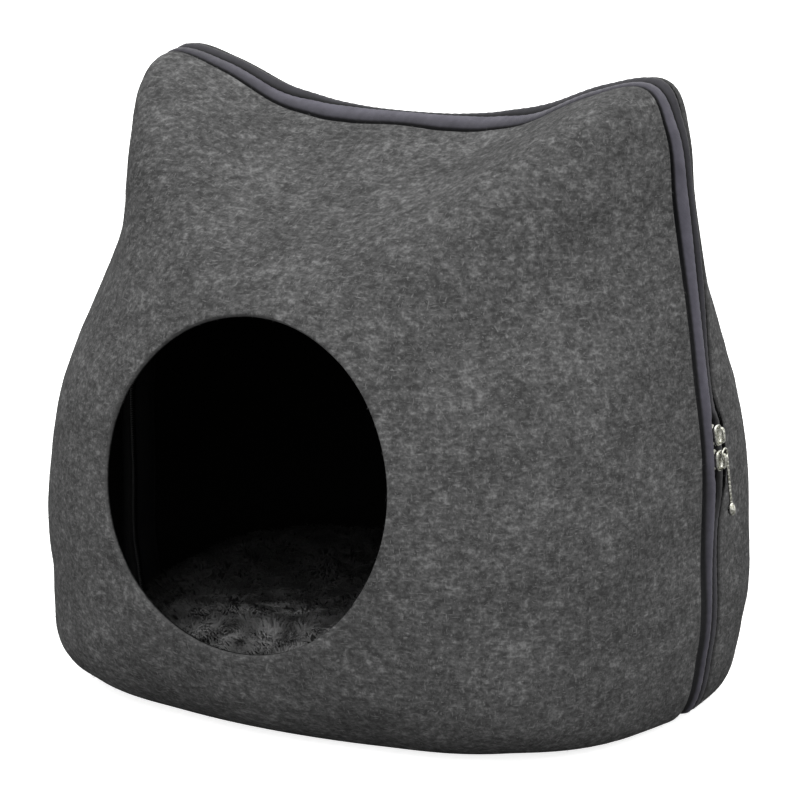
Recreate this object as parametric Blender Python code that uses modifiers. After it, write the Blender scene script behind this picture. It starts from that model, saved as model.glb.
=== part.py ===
"""Felt cat cave: two moulded felt halves in a cat-head outline, zipped together, with a plush cushion inside.

Metres, +Z up. The entrance faces -Y. The origin is the middle of the base, and the cave stands on z = 0. The pieces
are shaped with the zip's ridge in the plane y = 0, and then moved together by RIDGE_Y.
"""

from math import cos, pi, radians, sin

import bmesh
import bpy
import numpy as np
from mathutils import Matrix, Vector

MM = 0.001
CLEAR = 0.3 * MM

# ---- Driving dimensions -------------------------------------------------------------------------------------------
FELT = 4.0 * MM
CENTRE_Z = 193 * MM
FRONT_DEPTH = 209 * MM
BACK_DEPTH = 164 * MM
RIDGE_Y = (FRONT_DEPTH - BACK_DEPTH) / 2
ENTRANCE_RADIUS = 106 * MM
ENTRANCE_Z = 168 * MM

# The right-hand half of the ridge, from the middle of the base up over the ear to the middle of the top. Each
# station is a direction from the centre. The left-hand half mirrors it.
# reach: mm from the centre to the ridge. face: how flat the front and back are. side: how square the sides are.
# crest: how steeply the two sides of the ridge meet. rise: mm that the back half swells, just behind the ridge.
STATION_COLUMNS = ("angle", "reach", "face", "side", "crest", "rise")
STATIONS = (
    (-90, 209, 6.1, 3.5, 0.11, 0.0),
    (-68, 226.5, 4.9, 3.4, 0.13, 0.0),
    (-52, 256.5, 4.1, 3.45, 0.14, 0.0),
    (-42, 283, 2.7, 2.85, 0.09, 0.0),
    (-32, 266.7, 2.4, 2.75, 0.10, 0.0),
    (-20, 242.6, 2.35, 2.85, 0.16, 0.0),
    (-4, 229, 2.1, 2.5, 0.21, 0.0),
    (12, 224.9, 2.1, 2.05, 0.17, 0.0),
    (26, 236, 2.0, 1.3, -0.02, 3.2),
    (36, 254.5, 1.8, 1.15, -0.10, 2.6),
    (44, 274.5, 1.5, 1.45, -0.10, 1.8),
    (50, 281, 1.65, 1.7, -0.05, 3.6),
    (56, 252.5, 1.45, 1.35, -0.025, 8.0),
    (62, 220, 1.85, 1.1, 0.02, 11.8),
    (70, 201, 2.4, 0.85, 0.06, 10.2),
    (78, 191.5, 2.5, 0.82, 0.085, 7.0),
    (90, 186.5, 2.2, 0.96, 0.08, 4.0),
)
# Away from the ridge the felt draws smooth: each place takes the mean of the stations beside it, over a spread that
# grows with depth. Low on the sides, where the felt stands square, only the middle of the face is drawn smooth.
SMOOTH_SPREAD = 20.0
SMOOTH_GROWTH = 1.5
SMOOTH_SIDE = (-30, 15)
SMOOTH_FACE = (0.8, 1.0)
SMOOTH_PLACES = np.linspace(-2.4, 2.4, 13)

RISE_PEAK = 0.08  # share of the back's depth where the rise is fullest

# Zip
SLOT = 14 * MM  # from the ridge to each felt edge
SLOT_CLOSES = (-43.0, -45.5)  # station angles over which the slot closes to a seam
TAPE_ENDS = -46.2
TAPE_SINKS = (-37.0, -42.0)  # station angles over which the lips sink under the felt
TAPE = 1.2 * MM
TAPE_UNDER = 5 * MM
TAPE_DEPTH = -4.8 * MM
# The rolled lip, from its inner edge over its top to the groove: mm across from the ridge, mm over the felt's surface
LIP = ((0.5, -1.1), (1.8, 0.4), (4.6, 0.9), (7.8, 0.5), (9.8, -0.9), (11.4, -3.5))
LIP_FOOT = ((9.6, -3.3), (0.9, -3.2))
LIP_SQUARE = 9 * MM  # nearer the ridge than this, the lip leans less than the felt does
CHAIN_HALF = 3.2 * MM
CHAIN_DEPTH = -4.0 * MM
CHAIN = 1.5 * MM

# Sliders, on the right-hand side. They hold the lips apart, mostly towards the back
PARTED = (6.0, 2.0, -6.0, -14.0)  # station angles: parting starts, is full, starts to close, has closed
PARTED_FRONT = 2.2 * MM
PARTED_BACK = 7.8 * MM
SLIDERS = (("slider_upper", -0.75), ("slider_lower", -4.8))
SLIDER_LENGTH = 13.6 * MM
SLIDER_WIDTH = 9.0 * MM
SLIDER_Y = 2.8 * MM
SLIDER_BASE = -4.3 * MM
SLIDER_TOP = 2.0 * MM
BRIDGE = (2.6 * MM, 1.4 * MM)  # width and thickness
BRIDGE_REACH = 4.8 * MM
BRIDGE_RISE = 4.0 * MM
PULLER_WIRE = 0.8 * MM
PULLER_RING = 3.4 * MM
PULLER_DROP = Vector((4.0, -35.0, 0.0)) * MM  # across, along and out of the slider
PULLER_KNOB = 2.6 * MM

# Cushion
CUSHION_HALF_WIDTH = 196 * MM
CUSHION_FRONT = 176 * MM
CUSHION_BACK = 134 * MM
CUSHION_RIM_FRONT = 54 * MM
CUSHION_RIM_BACK = 70 * MM
CUSHION_DIP = 9 * MM
CUSHION_CORNER = 2.35

# ---- Mesh fineness ------------------------------------------------------------------------------------------------
RING_STEP = 32 * MM
RING_TURN = radians(16)
FELT_ROWS = 9
FELT_EDGE = 6 * MM
FELT_BEND = 60 * MM
CUSHION_SIDES = 36


def clear_scene():
    for thing in list(bpy.data.objects):
        bpy.data.objects.remove(thing, do_unlink=True)


def station(column, angle):
    """A column's value at any angle, by a smooth cubic through the stations, mirrored left to right."""
    folded = mirrored(angle)
    table = np.array(STATIONS, float)
    at, value = table[:, 0], table[:, STATION_COLUMNS.index(column)]
    span = np.diff(at)
    slope = np.diff(value) / span
    tangent = np.zeros(len(at))
    tangent[1:-1] = (span[1:] * slope[:-1] + span[:-1] * slope[1:]) / (span[:-1] + span[1:])
    i = np.clip(np.searchsorted(at, folded) - 1, 0, len(span) - 1)
    t = (folded - at[i]) / span[i]
    return (
        (2 * t**3 - 3 * t**2 + 1) * value[i]
        + (t**3 - 2 * t**2 + t) * span[i] * tangent[i]
        + (3 * t**2 - 2 * t**3) * value[i + 1]
        + (t**3 - t**2) * span[i] * tangent[i + 1]
    )


def ramp(value, start, stop):
    t = np.clip((value - start) / (stop - start), 0, 1)
    return t * t * (3 - 2 * t)


def mirrored(angle):
    """Station angles on the right for places on either side."""
    folded = (np.asarray(angle, float) + 90) % 360 - 90
    return np.where(folded > 90, 180 - folded, folded)


def moulded_reach(angle, depth, back):
    """Distance from the centre line to the felt's outside, at a share of the depth from the ridge to the face."""
    swell = depth / RISE_PEAK * np.exp(1 - depth / RISE_PEAK) if back else 0
    share = np.maximum(ramp(mirrored(angle), *SMOOTH_SIDE), ramp(depth, *SMOOTH_FACE))
    spread = SMOOTH_SPREAD * depth**SMOOTH_GROWTH * share
    weights = np.exp(-(SMOOTH_PLACES**2) / 2)
    total = 0
    for place, weight in zip(SMOOTH_PLACES, weights / weights.sum()):
        at = angle + place * spread
        side, face = station("side", at), station("face", at)
        rounded = np.clip(1 - depth**side, 0, 1) ** (1 / face) - station("crest", at) * depth * (1 - depth) ** 3
        total = total + weight * rounded * (station("reach", at) + station("rise", at) * swell) * MM
    return np.maximum(total, 0)


def skin(angle, depth, back):
    """The felt's outer surface: a point in a station's direction, at a share of the depth from ridge to face."""
    angle, depth = np.broadcast_arrays(np.asarray(angle, float), np.asarray(depth, float))
    reach = moulded_reach(angle, depth, back)
    y = depth * (BACK_DEPTH if back else -FRONT_DEPTH)
    z = CENTRE_Z + reach * np.sin(np.radians(angle))
    return np.stack([reach * np.cos(np.radians(angle)), y, np.maximum(z, 0)], -1)


def near_ridge(angle, across, lift, back):
    """Points beside the ridge, a distance across from it and lifted along the felt's outward normal."""
    whole = BACK_DEPTH if back else FRONT_DEPTH
    turn, step = 0.2, 0.2 * MM
    along = skin(angle + turn, across / whole, back) - skin(angle - turn, across / whole, back)
    outer = skin(angle, (across + step) / whole, back) - skin(angle, np.maximum(across - step, 0) / whole, back)
    normal = np.cross(along, outer) * (-1 if back else 1)
    normal[..., 1] *= ramp(across, 0, LIP_SQUARE)
    normal /= np.linalg.norm(normal, axis=-1, keepdims=True)
    return skin(angle, across / whole, back) + normal * np.asarray(lift)[..., None]


def spaced(points, count, bend):
    """Picks count places along a polyline, evenly by its length plus bend times its turning."""
    legs = np.diff(points, axis=0)
    length = np.linalg.norm(legs, axis=1)
    heading = legs / np.maximum(length, 1e-9)[:, None]
    turning = np.arccos(np.clip((heading[1:] * heading[:-1]).sum(1), -1, 1))
    effort = length + bend * np.concatenate([[0], turning])
    total = np.concatenate([[0], np.cumsum(effort)])
    return np.interp(np.linspace(0, total[-1], count), total, np.arange(len(points)))


def ring_angles():
    """Station angles all round the ridge, closer together where it bends."""
    fine = np.linspace(SLOT_CLOSES[1], 90, 800)
    ridge = skin(fine, np.zeros(len(fine)), False)
    bend = RING_STEP / RING_TURN
    legs = np.diff(ridge, axis=0)
    heading = legs / np.linalg.norm(legs, axis=1)[:, None]
    turning = np.arccos(np.clip((heading[1:] * heading[:-1]).sum(1), -1, 1)).sum()
    count = round((np.linalg.norm(legs, axis=1).sum() + bend * turning) / RING_STEP) + 1
    upper = np.interp(spaced(ridge, count, bend), np.arange(len(fine)), fine)
    closing = np.linspace(SLOT_CLOSES[0], SLOT_CLOSES[1], 5)[1:-1]
    base = np.linspace(-90, SLOT_CLOSES[1], 6)[:-1]
    half = np.sort(np.concatenate([base, closing, upper[:1], upper[upper > SLOT_CLOSES[0] + 0.5], [SLOT_CLOSES[0]]]))
    starts, full, closes, closed = PARTED
    parted = np.concatenate([np.linspace(closed, closes, 5), np.linspace(full, starts, 4), [(full + closes) / 2]])
    right = np.concatenate([half[(half < closed - 1) | (half > starts + 1)], parted])
    return np.concatenate([np.sort(right), 180 - half[-2:0:-1]])


def parting(angle):
    """0 where the lips meet, 1 where the sliders hold them apart."""
    return ramp(angle, PARTED[0], PARTED[1]) * (1 - ramp(angle, PARTED[2], PARTED[3]))


def slot_half(angle, back):
    """Distance from the ridge to the felt's edge: the zip's slot, closed to a plain seam under the base."""
    t = np.clip((SLOT_CLOSES[0] - mirrored(angle)) / (SLOT_CLOSES[0] - SLOT_CLOSES[1]), 0, 1)
    width = SLOT + (0.4 * PARTED_BACK * parting(angle) if back else 0)
    return np.maximum(width * np.sqrt(1 - t**2), CLEAR / 2)


def meridian(angle, back):
    """A fine polyline from the middle of the front or back out to the ridge, with its distances from the centre."""
    depth = 1 - np.linspace(0, 1, 500) ** 5
    line = skin(angle, depth, back)
    return line, moulded_reach(angle, depth, back)


def entrance_reach(angle):
    """Distance from the centre to the round entrance's edge in a direction."""
    up = (ENTRANCE_Z - CENTRE_Z) * sin(radians(angle))
    return up + np.sqrt(ENTRANCE_RADIUS**2 - (ENTRANCE_Z - CENTRE_Z) ** 2 + up**2)


def along(line, places):
    """Points at fractional places of a polyline."""
    return np.stack([np.interp(places, np.arange(len(line)), line[:, k]) for k in range(3)], -1)


def felt_rows(angles, back):
    """Rows of points from the entrance's edge, or the middle of the back, out to the slot's edge."""
    columns = []
    for angle in angles:
        line, reach = meridian(angle, back)
        start = 0 if back else np.interp(entrance_reach(angle), reach, np.arange(len(reach)))
        edge = slot_half(angle, back)
        stop, before = (np.interp(-y, -np.abs(line[:, 1]), np.arange(len(reach))) for y in (edge, edge + FELT_EDGE))
        body = along(line, np.linspace(start, before, 400))
        columns.append(np.concatenate([along(body, spaced(body, FELT_ROWS, FELT_BEND)), along(line, [stop])]))
    return np.array(columns).transpose(1, 0, 2)


def new_object(name, mesh, collection, material):
    thing = bpy.data.objects.new(name, mesh)
    collection.objects.link(thing)
    thing.data.materials.append(material)
    return thing


def loft(name, rows, closed_round, cap_start=False, cap_end=False):
    """A mesh from rows of points, each joined to the next, with optional end faces."""
    count, across = rows.shape[:2]
    build = bmesh.new()
    verts = [[build.verts.new(p) for p in row] for row in rows]
    for j in range(count - 1):
        for i in range(across if closed_round else across - 1):
            k = (i + 1) % across
            build.faces.new((verts[j][i], verts[j][k], verts[j + 1][k], verts[j + 1][i]))
    if cap_start:
        build.faces.new(verts[0][::-1])
    if cap_end:
        build.faces.new(verts[-1])
    bmesh.ops.recalc_face_normals(build, faces=build.faces)
    mesh = bpy.data.meshes.new(name)
    build.to_mesh(mesh)
    build.free()
    return mesh


def material(name, colour, roughness, metallic=0.0):
    made = bpy.data.materials.new(name)
    made.use_nodes = True
    shader = made.node_tree.nodes["Principled BSDF"]
    shader.inputs["Base Color"].default_value = (*colour, 1)
    shader.inputs["Roughness"].default_value = roughness
    shader.inputs["Metallic"].default_value = metallic
    return made


def felt_half(name, back, collection, finish):
    """One moulded felt half: an open surface, thickened inwards."""
    rows = felt_rows(ring_angles(), back)
    if back:
        rows = rows[1:]
    build = bmesh.new()
    verts = [[build.verts.new(p) for p in row] for row in rows]
    around = len(verts[0])
    for j in range(len(verts) - 1):
        for i in range(around):
            k = (i + 1) % around
            build.faces.new((verts[j][i], verts[j + 1][i], verts[j + 1][k], verts[j][k]))
    if back:
        middle = build.verts.new((0, BACK_DEPTH, CENTRE_Z))
        for i in range(around):
            build.faces.new((middle, verts[0][i], verts[0][(i + 1) % around]))
        bmesh.ops.reverse_faces(build, faces=build.faces)
    mesh = bpy.data.meshes.new(name)
    build.to_mesh(mesh)
    build.free()
    half = new_object(name, mesh, collection, finish)
    wall = half.modifiers.new("felt thickness", "SOLIDIFY")
    wall.thickness = FELT
    wall.offset = -1
    wall.use_even_offset = True
    mesh.shade_smooth()
    return half


def zip_tape(name, back, collection, finish):
    """One tape: its flange lies under the felt's edge, and its free side is rolled into a lip along the ridge."""
    angles = ring_angles()
    angles = angles[(angles > SLOT_CLOSES[1] + 0.1) & (angles < 180 - SLOT_CLOSES[1] - 0.1)]
    angles = np.concatenate([[TAPE_ENDS], angles, [180 - TAPE_ENDS]])
    lip, foot = np.array(LIP) * MM, np.array(LIP_FOOT) * MM
    flange = np.array([(SLOT - 0.8 * MM, 0), (SLOT + TAPE_UNDER, 0), (SLOT + TAPE_UNDER, -TAPE), (SLOT - 1.6 * MM, -TAPE)])
    flange[:, 1] += TAPE_DEPTH
    profile = np.concatenate([lip, flange, foot])
    sunk = TAPE_DEPTH - TAPE * np.repeat((0, 1), (len(lip) + 2, len(foot) + 2))
    under = profile[:, 0] > SLOT - 3 * MM
    rows = []
    for angle in angles:
        stands = ramp(mirrored(angle), TAPE_SINKS[1], TAPE_SINKS[0])
        parted = (PARTED_BACK if back else PARTED_FRONT) * parting(angle)
        moved = max(slot_half(angle, back), SLOT) - SLOT
        lip_share = np.where(under, 1, profile[:, 0] / (SLOT - 3 * MM))
        across = profile[:, 0] + parted * (1 - lip_share) + moved * lip_share
        height = profile[:, 1] * stands + sunk * (1 - stands)
        rows.append(near_ridge(np.full(len(profile), angle), across, height, back))
    mesh = loft(name, np.array(rows), True, True, True)
    mesh.shade_smooth()
    mesh.set_sharp_from_angle(angle=radians(50))
    return new_object(name, mesh, collection, finish)


def zip_chain(collection, finish):
    """The closed coil as a plain strip under the two lips."""
    angles = ring_angles()
    angles = angles[(angles > TAPE_SINKS[0]) & (angles < 180 - TAPE_SINKS[0])]
    rows = []
    for angle in angles:
        here, _, across, out = (np.array(v) for v in ridge_frame(angle))
        edges = [skin(angle, CHAIN_HALF / whole, back) for whole, back in ((FRONT_DEPTH, False), (BACK_DEPTH, True))]
        level = min((edge - here) @ out for edge in edges) + CHAIN_DEPTH
        top, half = here + out * level, across * CHAIN_HALF
        rows.append([top - half, top + half, top + half - out * CHAIN, top - half - out * CHAIN])
    return new_object("zip_chain", loft("zip_chain", np.array(rows), True, True, True), collection, finish)


def ridge_frame(angle):
    """Place and directions on the ridge: along it upwards, across it to the back, and out."""
    here = Vector(skin(angle, 0.0, False))
    up = (Vector(skin(angle + 0.3, 0.0, False)) - Vector(skin(angle - 0.3, 0.0, False))).normalized()
    across = Vector((0, 1, 0))
    out = across.cross(up)
    return here, up, across, out if out.dot(here - Vector((0, 0, CENTRE_Z))) > 0 else -out


def tube(name, points, radius, collection, finish, closed=False):
    """A round wire along points, made a closed mesh."""
    curve = bpy.data.curves.new(name, "CURVE")
    curve.dimensions = "3D"
    curve.bevel_depth = radius
    curve.bevel_resolution = 1
    curve.use_fill_caps = True
    line = curve.splines.new("POLY")
    line.points.add(len(points) - 1)
    for point, place in zip(line.points, points):
        point.co = (*place, 1)
    line.use_cyclic_u = closed
    wire = bpy.data.objects.new(name + " wire", curve)
    collection.objects.link(wire)
    bpy.context.view_layer.update()
    graph = bpy.context.evaluated_depsgraph_get()
    mesh = bpy.data.meshes.new_from_object(wire.evaluated_get(graph))
    bpy.data.objects.remove(wire, do_unlink=True)
    build = bmesh.new()
    build.from_mesh(mesh)
    bmesh.ops.remove_doubles(build, verts=build.verts, dist=0.00001)
    bmesh.ops.recalc_face_normals(build, faces=build.faces)
    build.to_mesh(mesh)
    build.free()
    mesh.materials.clear()
    return new_object(name, mesh, collection, finish)


def joined(body, other):
    """Makes other one solid with body, and keeps it as a hidden helper."""
    union = body.modifiers.new(other.name, "BOOLEAN")
    union.operation = "UNION"
    union.object = other
    other.hide_render = True
    other.display_type = "WIRE"


def slider(name, angle, collection, helpers, finish):
    """A cast slider between the lips, narrower at its tail, with a bridge over it for the puller."""
    here, up, across, out = ridge_frame(angle)
    place = Matrix((across, up, out)).transposed().to_4x4()
    place.translation = here + across * SLIDER_Y
    build = bmesh.new()
    bmesh.ops.create_cube(build, size=1)
    for vert in build.verts:
        vert.co.x *= SLIDER_WIDTH * (0.75 if vert.co.y < 0 else 1)
        vert.co.y *= SLIDER_LENGTH
        vert.co.z = SLIDER_BASE if vert.co.z < 0 else SLIDER_TOP
    bmesh.ops.bevel(build, geom=build.edges, offset=1.2 * MM, segments=2, affect="EDGES", profile=0.5)
    mesh = bpy.data.meshes.new(name)
    build.to_mesh(mesh)
    build.free()
    body = new_object(name, mesh, collection, finish)
    body.matrix_world = place
    turn = np.linspace(0, pi, 9)
    width, thick = BRIDGE
    rows = []
    for inward in (0, thick):
        run = (BRIDGE_REACH - inward) * np.sign(np.cos(turn)) * np.abs(np.cos(turn)) ** 0.5
        rise = SLIDER_TOP - MM + (BRIDGE_RISE + MM - inward) * np.sin(turn) ** 0.5
        rows.append(np.stack([np.full(9, width / 2), run, rise], -1))
    outer, inner = rows
    flip = np.array((-1, 1, 1))
    section = np.stack([outer, outer * flip, inner * flip, inner], 1)
    bridge = new_object(name + " bridge", loft(name + " bridge", section, True, True, True), helpers, finish)
    bridge.matrix_world = place
    joined(body, bridge)
    return place


def puller(place, collection, helpers, finish):
    """A ring round the upper leg of the bridge, with a thin drop and a knob, hanging flat on the slider."""
    width, thick = BRIDGE
    inside = PULLER_RING * cos(pi / 16) - PULLER_WIRE - 2.2 * CLEAR
    centre = Vector((0, BRIDGE_REACH - (inside**2 - (width / 2) ** 2) ** 0.5, SLIDER_TOP + PULLER_WIRE + 1.6 * CLEAR))
    ring = [centre + PULLER_RING * Vector((cos(t), sin(t), 0)) for t in np.linspace(0, 2 * pi, 17)[:-1]]
    body = tube("puller", [place @ point for point in ring], PULLER_WIRE, collection, finish, closed=True)
    start = centre + PULLER_RING * Vector((sin(0.9), -cos(0.9), 0))
    drop = [place @ (start + PULLER_DROP * share) for share in (0, 0.5, 1)]
    joined(body, tube("puller drop", drop, 1.1 * PULLER_WIRE, helpers, finish))
    build = bmesh.new()
    bmesh.ops.create_uvsphere(build, u_segments=10, v_segments=6, radius=PULLER_KNOB)
    for vert in build.verts:
        vert.co.z *= 1.6
    mesh = bpy.data.meshes.new("puller knob")
    build.to_mesh(mesh)
    build.free()
    knob = new_object("puller knob", mesh, helpers, finish)
    knob.location = drop[-1]
    joined(body, knob)


def cushion(collection, finish):
    """One filled pad: oval, drawn in at its sides, with a rim that rises towards the back and a dipped middle."""
    base = FELT + CLEAR
    # Share of the plan's reach, and share of the height, from the underside over the side and rim to the middle
    side = (
        (0.35, 0.0), (0.76, 0.0), (0.87, 0.06), (0.955, 0.22), (1.0, 0.46), (0.985, 0.70), (0.94, 0.90), (0.86, 0.99),
    )
    turn = np.linspace(0, 2 * pi, CUSHION_SIDES + 1)[:-1]
    c, s = np.cos(turn), np.sin(turn)
    corner = 2 / CUSHION_CORNER
    x = CUSHION_HALF_WIDTH * np.sign(c) * np.abs(c) ** corner
    y = np.where(s > 0, CUSHION_BACK, CUSHION_FRONT) * np.sign(s) * np.abs(s) ** corner
    rows = []
    for share, height in side + tuple((share, 1.0) for share in (0.74, 0.56, 0.34, 0.14)):
        back_share = np.clip((y * share + CUSHION_FRONT) / (CUSHION_FRONT + CUSHION_BACK), 0, 1)
        rim = CUSHION_RIM_FRONT + (CUSHION_RIM_BACK - CUSHION_RIM_FRONT) * back_share
        dip = CUSHION_DIP * (1 - min(share / 0.86, 1) ** 2) if height == 1.0 else 0
        z = base + (rim - base) * height - dip
        rows.append(np.stack([x * share, y * share, z], -1))
    mesh = loft("cushion", np.array(rows), True, True, True)
    mesh.shade_smooth()
    return new_object("cushion", mesh, collection, finish)


def main():
    clear_scene()
    cave = bpy.data.collections.new("felt cat cave")
    helpers = bpy.data.collections.new("helpers")
    bpy.context.scene.collection.children.link(cave)
    bpy.context.scene.collection.children.link(helpers)
    felt = material("charcoal felt", (0.085, 0.085, 0.087), 0.95)
    woven = material("woven zip tape", (0.07, 0.065, 0.085), 0.6)
    coil = material("coil", (0.012, 0.012, 0.014), 0.45)
    metal = material("nickel", (0.62, 0.62, 0.58), 0.28, 1.0)
    plush = material("dark plush", (0.03, 0.03, 0.031), 1.0)
    felt_half("front_half", False, cave, felt)
    felt_half("back_half", True, cave, felt)
    zip_tape("zip_tape_front", False, cave, woven)
    zip_tape("zip_tape_back", True, cave, woven)
    zip_chain(cave, coil)
    places = [slider(name, angle, cave, helpers, metal) for name, angle in SLIDERS]
    puller(places[1], cave, helpers, metal)
    cushion(cave, plush)
    middle = bpy.data.objects.new("middle of the base", None)
    middle.location.y = RIDGE_Y
    helpers.objects.link(middle)
    for thing in [*cave.objects, *helpers.objects]:
        if thing is not middle:
            thing.parent = middle


main()
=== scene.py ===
"""Felt cat cave, dressed: two moulded felt halves zipped together, with a plush cushion inside.

Metres, +Z up. The entrance faces -Y, and the origin is the middle of the base.
"""

import bmesh
import bpy
import numpy as np
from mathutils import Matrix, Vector


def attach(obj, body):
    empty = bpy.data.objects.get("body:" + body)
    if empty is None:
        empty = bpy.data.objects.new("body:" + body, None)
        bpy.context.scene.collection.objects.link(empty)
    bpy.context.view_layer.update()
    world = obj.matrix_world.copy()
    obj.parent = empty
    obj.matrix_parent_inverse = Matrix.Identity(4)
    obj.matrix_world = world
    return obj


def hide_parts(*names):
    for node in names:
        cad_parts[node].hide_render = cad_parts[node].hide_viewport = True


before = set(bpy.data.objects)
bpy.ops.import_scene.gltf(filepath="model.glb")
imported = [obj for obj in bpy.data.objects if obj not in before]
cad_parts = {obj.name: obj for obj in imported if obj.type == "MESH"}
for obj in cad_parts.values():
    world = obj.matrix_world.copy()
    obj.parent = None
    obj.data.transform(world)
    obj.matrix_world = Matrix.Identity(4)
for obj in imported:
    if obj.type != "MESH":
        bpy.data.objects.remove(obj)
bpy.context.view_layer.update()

# ---- Felt halves --------------------------------------------------------------------------------
# Each half is one panel of thick needle felt, pressed over a cat-head form and cut to its edge. The front
# has the round entrance cut in it. Both edges stop short of the ridge, where the zip's tapes are sewn in.
FELT = 0.004
CENTRE_Z = 0.193
FRONT_DEPTH = 0.209
BACK_DEPTH = 0.164
RIDGE_Y = (FRONT_DEPTH - BACK_DEPTH) / 2
ENTRANCE_RADIUS = 0.106
ENTRANCE_Z = 0.168
# How softly the form bends where it meets the floor
BASE_ROUNDING = 0.0025

# The ridge's right-hand half, from the middle of the base over the ear to the middle of the top.
# reach: mm from the centre to the ridge. face: how flat the front and back are. side: how square the sides
# are. crest: how steeply the ridge's two sides meet. rise: mm that the back half swells behind the ridge.
STATION_COLUMNS = ("angle", "reach", "face", "side", "crest", "rise")
STATIONS = (
    (-90, 209, 6.1, 3.5, 0.11, 0.0),
    (-68, 226.5, 4.9, 3.4, 0.13, 0.0),
    (-52, 256.5, 4.1, 3.45, 0.14, 0.0),
    (-42, 283, 2.7, 2.95, 0.09, 0.0),
    (-32, 266.7, 2.4, 2.75, 0.10, 0.0),
    (-20, 242.6, 2.35, 2.85, 0.16, 0.0),
    (-4, 229, 2.1, 2.5, 0.21, 0.0),
    (12, 224.9, 2.1, 2.05, 0.17, 0.0),
    (26, 236, 2.0, 1.3, -0.02, 3.2),
    (36, 254.5, 1.8, 1.15, -0.11, 3.4),
    (44, 274.5, 1.5, 1.45, -0.14, 2.2),
    (50, 281, 1.65, 1.7, -0.12, 3.8),
    (56, 252.5, 1.45, 1.35, -0.06, 8.0),
    (62, 220, 1.85, 1.1, 0.02, 11.8),
    (70, 201, 2.4, 0.85, 0.06, 10.2),
    (78, 191.5, 2.5, 0.82, 0.085, 7.0),
    (90, 186.5, 2.2, 0.96, 0.08, 4.0),
)
# The form is evened out along the ridge: over how many degrees, how fast that grows with depth, at which
# stations and depths it starts, and the places that it takes the mean over
SMOOTH_SPREAD = 20.0
SMOOTH_GROWTH = 1.5
SMOOTH_SIDE = (-30, 15)
SMOOTH_FACE = (0.8, 1.0)
SMOOTH_PLACES = np.linspace(-2.4, 2.4, 13)
# The depth where the swell behind the ridge is highest, and how fast the crest goes with depth
RISE_PEAK = 0.08
CREST_FALL = 3

# From the ridge to each felt edge, and the station angles over which that closes to the seam under the base
SLOT = 0.014
SLOT_CLOSES = (-43.0, -45.5)
SEAM = 0.00015
# Station angles over which the sliders part the lips: from above, then below on the front and on the back
PARTED = (3.6, 1.0)
PARTED_CLOSES = ((-6.8, -8.6), (-10.5, -16.0))
# How far they push the back lip and the back felt's edge, and the angles over which that edge bows back
PARTED_BACK = 0.0078
PARTED_EDGE = 0.0110
PARTED_EDGE_SPAN = ((6.5, -1.0), (-7.5, -18.0))

# Points round the form, in a line from the middle to the edge, and the same inside
FELT_AROUND = 440
FELT_ROWS = 84
FELT_INNER_ROWS = 28
# How far the felt is uneven, how wide the lumps are, and how far from an edge they fade
LUMPS = ((0.0007, 0.09, 4), (0.00018, 0.022, 7))
LUMPS_FADE = 0.03
# How far the cut edge bulges, and where its points lie across the thickness
EDGE_BULGE = 0.0006
EDGE_ACROSS = (0.06, 0.2, 0.5, 0.8, 0.94)


def ramp(value, start, stop):
    """0 before start, 1 after stop, and a smooth S between: t squared times (3 - 2t)."""
    t = np.clip((value - start) / (stop - start), 0, 1)
    return t * t * (3 - 2 * t)


def mirrored(angle):
    """Station angles on the right for places on either side."""
    folded = (np.asarray(angle, float) + 90) % 360 - 90
    return np.where(folded > 90, 180 - folded, folded)


def station(column, angle):
    """A column's value at any angle: a cubic through the stations, its slope at each a weighted mean."""
    folded = mirrored(angle)
    table = np.array(STATIONS, float)
    at, value = table[:, 0], table[:, STATION_COLUMNS.index(column)]
    span = np.diff(at)
    slope = np.diff(value) / span
    tangent = np.zeros(len(at))
    tangent[1:-1] = (span[1:] * slope[:-1] + span[:-1] * slope[1:]) / (span[:-1] + span[1:])
    i = np.clip(np.searchsorted(at, folded) - 1, 0, len(span) - 1)
    t = (folded - at[i]) / span[i]
    return (
        (2 * t**3 - 3 * t**2 + 1) * value[i]
        + (t**3 - 2 * t**2 + t) * span[i] * tangent[i]
        + (3 * t**2 - 2 * t**3) * value[i + 1]
        + (t**3 - t**2) * span[i] * tangent[i + 1]
    )


def moulded_reach(angle, depth, back):
    """Distance from the centre line: reach times a rounded fall, (1 - depth^side)^(1/face), less a crest.

    Behind the ridge the reach gains the rise, times d e^(1 - d) for d = depth over the peak's. Each place
    takes the mean over the angles beside it, over a spread that grows with depth.
    """
    swell = depth / RISE_PEAK * np.exp(1 - depth / RISE_PEAK) if back else 0
    share = np.maximum(ramp(mirrored(angle), *SMOOTH_SIDE), ramp(depth, *SMOOTH_FACE))
    spread = SMOOTH_SPREAD * depth**SMOOTH_GROWTH * share
    weights = np.exp(-(SMOOTH_PLACES**2) / 2)
    total = 0
    for place, weight in zip(SMOOTH_PLACES, weights / weights.sum()):
        at = angle + place * spread
        side, face = station("side", at), station("face", at)
        crest = station("crest", at) * depth * (1 - depth) ** CREST_FALL
        fall = np.clip(1 - depth**side, 0, 1) ** (1 / face) - crest
        total = total + weight * fall * (station("reach", at) + station("rise", at) * swell) / 1000
    return np.maximum(total, 0)


def form(angle, depth, back):
    """The felt's outside, from the ridge at depth 0 to the face at 1.

    Height is the mean of z and the root of z squared plus the rounding squared: a soft bend into the floor.
    """
    angle, depth = np.broadcast_arrays(np.asarray(angle, float), np.asarray(depth, float))
    reach = moulded_reach(angle, depth, back)
    y = RIDGE_Y + depth * (BACK_DEPTH if back else -FRONT_DEPTH)
    z = CENTRE_Z + reach * np.sin(np.radians(angle))
    z = (z + np.sqrt(z**2 + BASE_ROUNDING**2)) / 2
    return np.stack([reach * np.cos(np.radians(angle)), y, z], -1)


def unit(vectors):
    return vectors / np.maximum(np.linalg.norm(vectors, axis=-1, keepdims=True), 1e-12)


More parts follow.
